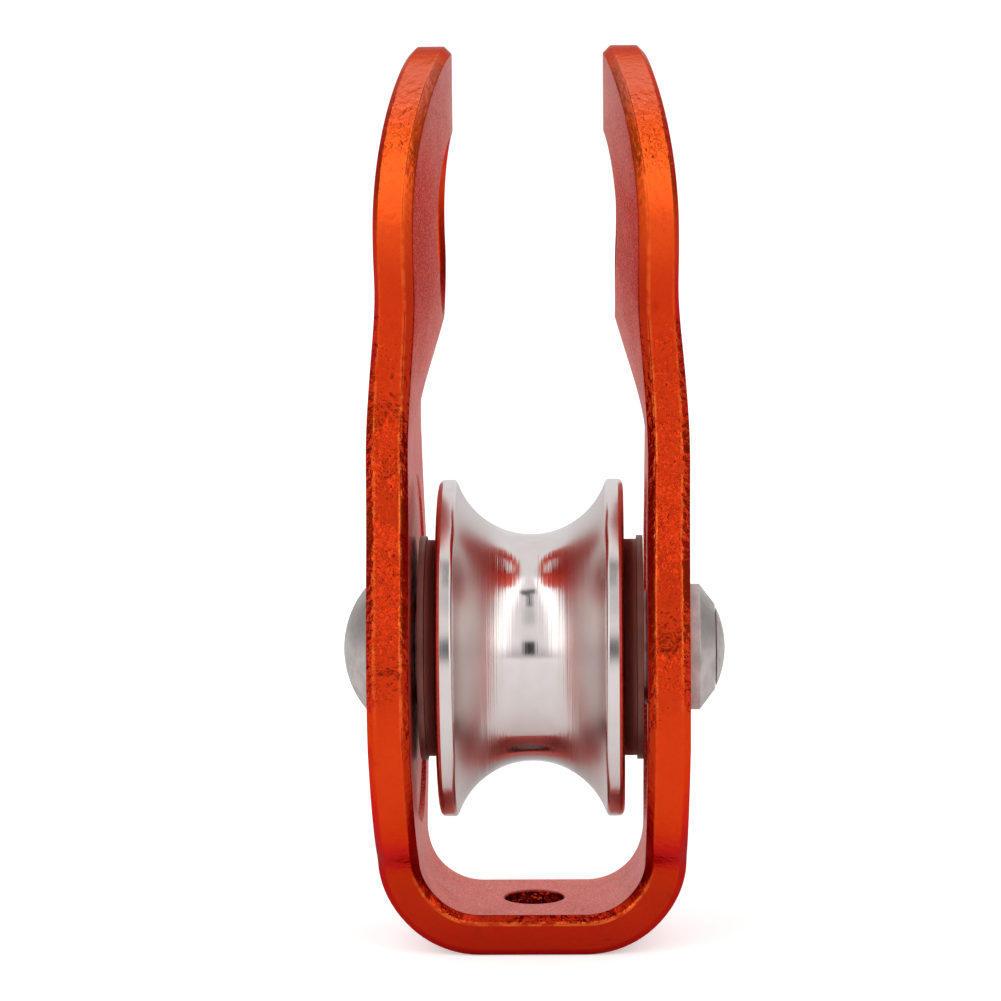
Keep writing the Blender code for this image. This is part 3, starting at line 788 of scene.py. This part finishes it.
def build_strap(material):
    """The bent strap, swept and filled as a flat blank, then bent into its U."""
    bm = bmesh.new()
    rim = sweep_rings(bm, blank_outline(), edge_profile())
    eye_steps = round(2 * math.pi * EYE_HOLE_R / OUTLINE_STEP)
    openings = []
    for side in (-1, 1):
        openings.append((side * station(EYE_Z), eye_steps, edge_profile(EYE_HOLE_R)))
        openings.append((side * station(0.0), FINE_STEPS, bore_profile()))
    openings.append((0.0, MEDIUM_STEPS, cord_profile()))
    outer_holes, inner_holes = [], []
    for centre, steps, profile in openings:
        rings = sweep_rings(bm, circle(centre, steps), profile)
        outer_holes.append((rings[0], centre, profile[0][0]))
        inner_holes.append((rings[-1], centre, profile[-1][0]))
    fill_face(bm, rim[0], outer_holes)
    fill_face(bm, rim[-1], inner_holes)
    mark_and_bend(bm)
    finish_mesh(bm, "strap", material, "frame", "frame")


# ---------------------------------------------------------------- sheave and washers


def flange_half(hub_x, rim_r):
    """From the bearing's seat over the hub and flange to the groove's mouth, with a rounded rim."""
    hub = [(hub_x, BEARING_SEAT_R), (hub_x, HUB_R), (FLANGE_X, HUB_R)]
    rim = [
        (FLANGE_X, rim_r - 0.68 * MM),
        (FLANGE_X - 0.08 * MM, rim_r - 0.34 * MM),
        (FLANGE_X - 0.24 * MM, rim_r - 0.12 * MM),
        (FLANGE_X - 0.50 * MM, rim_r),
        (GROOVE_MOUTH_X + 0.32 * MM, rim_r),
        (GROOVE_MOUTH_X + 0.12 * MM, rim_r - 0.09 * MM),
    ]
    return rounded(hub, 0.05 * MM) + rounded([hub[-1], *rim], 0.12 * MM)[1:]


def sheave_profile():
    """Hub, flange, rounded rim and rope groove, then the bearing seats inside."""
    hub_x, rim_r = cad_high("sheave").x, cad_high("sheave").y
    centre_r = GROOVE_ROOT_R + GROOVE_R
    spread = math.asin(GROOVE_MOUTH_X / GROOVE_R)
    angles = [spread * (1 - 2 * i / GROOVE_STEPS) for i in range(GROOVE_STEPS + 1)]
    groove = [(GROOVE_R * math.sin(a), centre_r - GROOVE_R * math.cos(a)) for a in angles]
    half = flange_half(hub_x, rim_r)
    seat = [(BEARING_SEAT_X, WEB_R), (BEARING_SEAT_X, BEARING_SEAT_R), (hub_x, BEARING_SEAT_R)]
    bore = rounded(mirrored(seat) + seat, 0.06 * MM)
    return half + groove + mirrored(half)[:-1] + bore[:-1]


def build_sheave(alloy, washer):
    turned("rope_sheave", sheave_profile(), alloy, "sheave", "sheave", steps=FINE_STEPS)
    low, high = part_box("right_side_washer")
    ring = plain_ring(WASHER_BORE_R, high.y, low.x - WASHER_REACH, high.x, 0.05 * MM)
    for side, profile in (("right", ring), ("left", mirrored(ring))):
        node = f"{side}_side_washer"
        turned(f"{side}_thrust_washer", profile, washer, "sheave", node, steps=FINE_STEPS)


# ---------------------------------------------------------------- rivet and collar


def dome(base_x, base_r, height, steps):
    """A ball-shaped cap from its base out to the axis; a negative height points to -X."""
    sphere_r = (base_r**2 + height**2) / (2 * abs(height))
    reach = math.copysign(sphere_r, height)
    centre_x = base_x + height - reach
    spread = math.asin(base_r / sphere_r)
    angles = [spread * (1 - i / steps) for i in range(steps)]
    points = [(centre_x + reach * math.cos(a), sphere_r * math.sin(a)) for a in angles]
    return points + [(base_x + height, 0.0)]


def rivet_profile(tail_x):
    """From the peened tail's tip in through the shank to the head's tip."""
    low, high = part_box("axle_rivet")
    seat_x, head_x = OUTER_HALF_WIDTH - SEAT_GAP, -OUTER_HALF_WIDTH - SEAT_GAP
    tail = dome(tail_x, TAIL_R, high.x - tail_x, 14)[::-1]
    undercut = [(tail_x, TAIL_R - TAIL_LIP), (tail_x - TAIL_ROOT, TENON_R)]
    shank = [(seat_x, TENON_R), (seat_x, SHANK_R), (head_x, SHANK_R)]
    head = rounded([(head_x, SHANK_R), *dome(head_x, high.y, low.x - head_x, 20)], 0.2 * MM)
    return tail + undercut + shank + head[1:]


def collar_profile():
    """A stepped ring with a cone for the rivet's tail in its outer face."""
    low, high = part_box("rivet_collar")
    corners = [
        (high.x - COLLAR_FLARE, TENON_R + COLLAR_GAP),
        (high.x, TAIL_R + COLLAR_GAP),
        (high.x, COLLAR_FACE_R),
        (low.x + COLLAR_RIM, high.y),
        (low.x, high.y),
        (low.x, TENON_R + COLLAR_GAP),
    ]
    return rounded(corners, 0.1 * MM, closed=True)


def build_axle(steel, spacer_steel):
    tail_x = cad_high("rivet_collar").x + TAIL_GAP
    for node, profile in (("axle_rivet", rivet_profile(tail_x)), ("rivet_collar", collar_profile())):
        turned(f"{node}_fine", profile, steel, "frame", node, steps=FINE_STEPS)
    for node in ("bearing_sleeve", "left_inner_spacer", "right_inner_spacer"):
        low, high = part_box(node)
        ring = plain_ring(SPACER_BORE_R, high.y, low.x, high.x)
        turned(f"{node}_fine", ring, spacer_steel, "frame", node)


# ---------------------------------------------------------------- bearings


def race(radius, shoulder_r):
    """The arc of a ball track across a bearing's ring, from one shoulder to the other."""
    side = 1 if shoulder_r > PITCH_R else -1
    spread = math.acos(abs(shoulder_r - PITCH_R) / radius)
    angles = [spread * (2 * i / TRACK_STEPS - 1) for i in range(TRACK_STEPS + 1)]
    return [(radius * math.sin(a), PITCH_R + side * radius * math.cos(a)) for a in angles]


def outer_ring_profile(half):
    seat = half - SHIELD_SEAT_DEPTH
    outside = [(half, OUTER_RACE_R), (-half, OUTER_RACE_R)]
    low_side = [(-half, SHIELD_SEAT_R), (-seat, SHIELD_SEAT_R), (-seat, OUTER_SHOULDER_R)]
    track = race(BALL_R + OUTER_TRACK_PLAY, OUTER_SHOULDER_R)
    return outside + low_side + track + mirrored(low_side)


def inner_ring_profile(half):
    track = race(BALL_R + INNER_TRACK_PLAY, INNER_SHOULDER_R)
    high_side = [(half, INNER_RACE_R), (half, INNER_SHOULDER_R)]
    return high_side + track[::-1] + mirrored(high_side)


def build_bearing(side, steel, shield, brass):
    """One shielded ball bearing, with a pocketed cage and nine balls."""
    name, cage_body = f"{side}_bearing", f"{side}_ball_cage"
    low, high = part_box(f"{name}_outer_ring")
    x, half = (low.x + high.x) / 2, (high.x - low.x) / 2
    for label, corners, body in (
        ("outer", outer_ring_profile(half), "sheave"),
        ("inner", inner_ring_profile(half), "frame"),
    ):
        profile = rounded(corners, 0.05 * MM, closed=True, segments=2)
        turned(f"{name}_{label}_race", profile, steel, body, f"{name}_{label}_ring", x)
    for label in ("outer", "inner"):
        node = f"{name}_{label}_shield"
        low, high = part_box(node)
        ring = plain_ring(INNER_SHOULDER_R + SHIELD_GAP, high.y, low.x, high.x, 0.06 * MM)
        turned(f"{node}_fine", ring, shield, "sheave", node)
    build_cage(f"{name}_cage", x, cage_body, brass)
    for i in range(BALLS):
        build_ball(f"{name}_ball_{i + 1}", cage_body, steel)


def build_ball(node, body, material):
    low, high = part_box(node)
    place = Matrix.Translation((low + high) / 2 - TO_AXLE)
    bm = bmesh.new()
    bmesh.ops.create_icosphere(bm, subdivisions=4, radius=BALL_R, matrix=place)
    finish_mesh(bm, f"{node}_fine", material, body, node)


def cage_cell():
    """A ball's round window, and the edge of its share of the ribbon in the same directions."""
    half_arc = PITCH_R * BALL_PITCH / 2
    window, edge = [], []
    for a in turns(CAGE_WINDOW_STEPS):
        to_side = CAGE_HALF_WIDTH / max(TINY, abs(math.cos(a)))
        to_next_ball = half_arc / max(TINY, abs(math.sin(a)))
        reach = min(to_side, to_next_ball)
        window.append((CAGE_WINDOW_R * math.cos(a), CAGE_WINDOW_R * math.sin(a)))
        edge.append((reach * math.cos(a), reach * math.sin(a)))
    return window, edge


def build_cage(node, x, body, material):
    """A ribbon round the ball circle with a round window for each ball."""
    bm = bmesh.new()
    window, edge = cage_cell()
    for radius in (PITCH_R - CAGE_HALF_DEPTH, PITCH_R + CAGE_HALF_DEPTH):
        for k in range(BALLS):
            for i in range(CAGE_WINDOW_STEPS):
                j = (i + 1) % CAGE_WINDOW_STEPS
                verts = []
                for axial, along in (window[i], edge[i], edge[j], window[j]):
                    a = k * BALL_PITCH + along / PITCH_R
                    verts.append(bm.verts.new((x + axial, -radius * math.sin(a), radius * math.cos(a))))
                bm.faces.new(verts)
    bmesh.ops.remove_doubles(bm, verts=bm.verts, dist=NEARLY)
    bridge_skins(bm, [e for e in bm.edges if e.is_boundary])
    finish_mesh(bm, f"{node}_fine", material, body, node)


def on_outer_skin(vert):
    return math.hypot(vert.co.y, vert.co.z) > PITCH_R


def ribbon_key(vert):
    """A vertex's rounded place along the ribbon's width and length, alike on both of its skins."""
    return round(vert.co.x / NEARLY), round(math.atan2(vert.co.y, vert.co.z) / NEARLY_ANGLE)


def bridge_skins(bm, open_edges):
    """Walls between the ribbon's inner and outer skins, along each open edge."""
    outer = {ribbon_key(v): v for edge in open_edges for v in edge.verts if on_outer_skin(v)}

    def across_from(vert):
        column, row = ribbon_key(vert)
        near = [(column + i, row + j) for i in (-1, 0, 1) for j in (-1, 0, 1)]
        return next((outer[key] for key in near if key in outer), None)

    for edge in open_edges:
        if any(on_outer_skin(v) for v in edge.verts):
            continue
        a, b = edge.verts
        a_out, b_out = across_from(a), across_from(b)
        if a_out and b_out:
            bm.faces.new((a, b, b_out, a_out))


# ---------------------------------------------------------------- stage, light and camera


VIEW_ELEVATION = math.radians(8.0)
VIEW_AZIMUTH = math.radians(1.45)
VIEW_ROLL = math.radians(0.55)
VIEW_DISTANCE = 390 * MM
VIEW_TARGET = Vector((-2.87, 0.0, 14.07)) * MM
VIEW_LENS = 148.7

FLOOR_HALF_WIDTH = 40.0
FLOOR_GAP = 0.02 * MM
FLOOR_GLOW = 0.46
LIGHT_AIM = Vector((0.0, 0.0, 0.01))

# What the metal sees of the room. Each patch of sky has the azimuth and elevation of its middle, its width
# and height, and the softness of its sides, all in degrees, then its brightness. The azimuth counts from
# behind the camera to the right. A later patch covers an earlier one.
SKY_PATCHES = (
    ((0, 19), (78, 62), 4.0, 0.60),
    ((0, 24), (50, 16), 6.0, 0.86),
    ((-20, 33), (18, 50), 6.0, 0.90),
    ((20, 33), (18, 50), 6.0, 0.90),
    ((-47, 42), (34, 76), 8.0, 1.55),
    ((47, 42), (34, 76), 8.0, 1.50),
    ((100, 5), (80, 70), 12.0, 0.25),
    ((-100, 5), (80, 70), 12.0, 0.25),
    ((-7, 68), (32, 5), 1.5, 0.10),
    ((16, 66), (26, 5), 1.5, 0.06),
    ((-1, 59), (11, 15), 2.0, 0.10),
    ((0, 9), (17, 13), 1.5, 0.04),
)


def build_camera():
    camera = bpy.data.cameras.new("camera")
    camera.lens = VIEW_LENS
    camera.sensor_width = 36.0
    camera.clip_start = 0.01
    camera.clip_end = 20.0
    holder = bpy.data.objects.new("camera", camera)
    bpy.context.scene.collection.objects.link(holder)
    across, ahead = math.sin(VIEW_AZIMUTH), math.cos(VIEW_AZIMUTH)
    flat, rise = math.cos(VIEW_ELEVATION), math.sin(VIEW_ELEVATION)
    back = Vector((across * flat, -ahead * flat, rise))
    right = Vector((ahead, across, 0.0))
    up = back.cross(right)
    turn = Matrix((right, up, back)).transposed() @ Matrix.Rotation(-VIEW_ROLL, 3, "Z")
    holder.matrix_world = Matrix.Translation(TO_AXLE + VIEW_TARGET + back * VIEW_DISTANCE) @ turn.to_4x4()
    bpy.context.scene.camera = holder


def area_light(name, place, width, height, power):
    """A soft box that lights matt surfaces and shows in no reflection: SKY_PATCHES stand in for it there."""
    light = bpy.data.lights.new(name, "AREA")
    light.shape = "RECTANGLE"
    light.size = width
    light.size_y = height
    light.energy = power
    holder = bpy.data.objects.new(name, light)
    bpy.context.scene.collection.objects.link(holder)
    holder.visible_glossy = False
    holder.location = TO_AXLE + Vector(place)
    holder.rotation_euler = (LIGHT_AIM - Vector(place)).to_track_quat("-Z", "Y").to_euler()


def build_lights():
    area_light("left_softbox", (-0.75, -0.75, 0.70), 0.95, 0.8, 5.0)
    area_light("right_softbox", (0.75, -0.75, 0.70), 0.75, 0.7, 3.5)


def studio_paper():
    """Pale paper with a glow that only the camera sees, so that the floor is nearly as light as the room."""
    material, nodes, shader, place = new_material("studio_paper")
    seen = nodes.add("ShaderNodeLightPath").outputs["Is Camera Ray"]
    connect(nodes, shader, {
        "Base Color": nodes.mix(nodes.noise(place, 400), PAPER, PAPER_LIGHT),
        "Roughness": 0.9,
        "Metallic": 0.0,
        "Emission Color": WHITE,
        "Emission Strength": nodes.product(seen, FLOOR_GLOW),
    })
    return material


def build_stage():
    """A wide pale floor under the pulley."""
    floor_z = AXLE_Z + BASE_BOTTOM_Z - FLOOR_GAP
    bm = bmesh.new()
    corners = [(-1, -1), (1, -1), (1, 1), (-1, 1)]
    spots = [(x * FLOOR_HALF_WIDTH, y * FLOOR_HALF_WIDTH, floor_z) for x, y in corners]
    bm.faces.new([bm.verts.new(spot) for spot in spots])
    mesh = bpy.data.meshes.new("studio_floor")
    bm.to_mesh(mesh)
    bm.free()
    floor = bpy.data.objects.new("studio_floor", mesh)
    bpy.context.scene.collection.objects.link(floor)
    mesh.materials.append(studio_paper())


def patch_at(nodes, azimuth, elevation, centre, size, soft):
    """1 inside a rectangle of sky round a centre and 0 outside it, with soft sides."""
    inside = []
    for angle, middle, width in ((azimuth, centre[0], size[0]), (elevation, centre[1], size[1])):
        away = nodes.maths("ABSOLUTE", nodes.maths("SUBTRACT", angle, math.radians(middle)))
        half = math.radians(width / 2)
        inside.append(nodes.ramp(away, half - math.radians(soft), half + math.radians(soft), 1.0, 0.0))
    return nodes.product(*inside)


def build_world():
    """A white room for the camera, and for every other ray the studio of SKY_PATCHES."""
    world = bpy.data.worlds.new("studio")
    bpy.context.scene.world = world
    world.use_nodes = True
    nodes = Nodes(world.node_tree)
    way = nodes.add("ShaderNodeTexCoord").outputs["Generated"]
    axes = nodes.add("ShaderNodeSeparateXYZ", {"Vector": way}).outputs
    elevation = nodes.maths("ARCSINE", axes["Z"])
    azimuth = nodes.maths("ARCTAN2", axes["X"], nodes.product(axes["Y"], -1.0))
    sky = nodes.ramp(elevation, 0.0, math.radians(80), 0.80, 0.86)
    for centre, size, soft, level in SKY_PATCHES:
        share = patch_at(nodes, azimuth, elevation, centre, size, soft)
        sky = nodes.total(sky, nodes.product(nodes.maths("SUBTRACT", level, sky), share))
    ray = nodes.add("ShaderNodeLightPath").outputs["Is Camera Ray"]
    background = world.node_tree.nodes["Background"]
    connect(nodes, background, {"Strength": nodes.maths("MAXIMUM", sky, ray), "Color": WHITE})


# ---------------------------------------------------------------- build


def main():
    bpy.context.scene.view_settings.view_transform = "Standard"
    red = anodised()
    alloy = sheave_alloy()
    washer = turned_metal("dark_washer", HUB_BROWN, 0.42, 0.003, 0.10, metal=0.5)
    steel = satin_metal("satin_steel", RIVET_STEEL, 0.48)
    bright = turned_metal("bearing_steel", BEARING_STEEL, 0.14, 0.001, 0.05)
    shield = satin_metal("shield_sheet", SHIELD_STEEL, 0.36)
    brass = satin_metal("cage_brass", CAGE_BRASS, 0.30)
    build_strap(red)
    build_sheave(alloy, washer)
    build_axle(steel, bright)
    for side in ("left", "right"):
        build_bearing(side, bright, shield, brass)
    build_stage()
    build_world()
    build_lights()
    build_camera()


main()
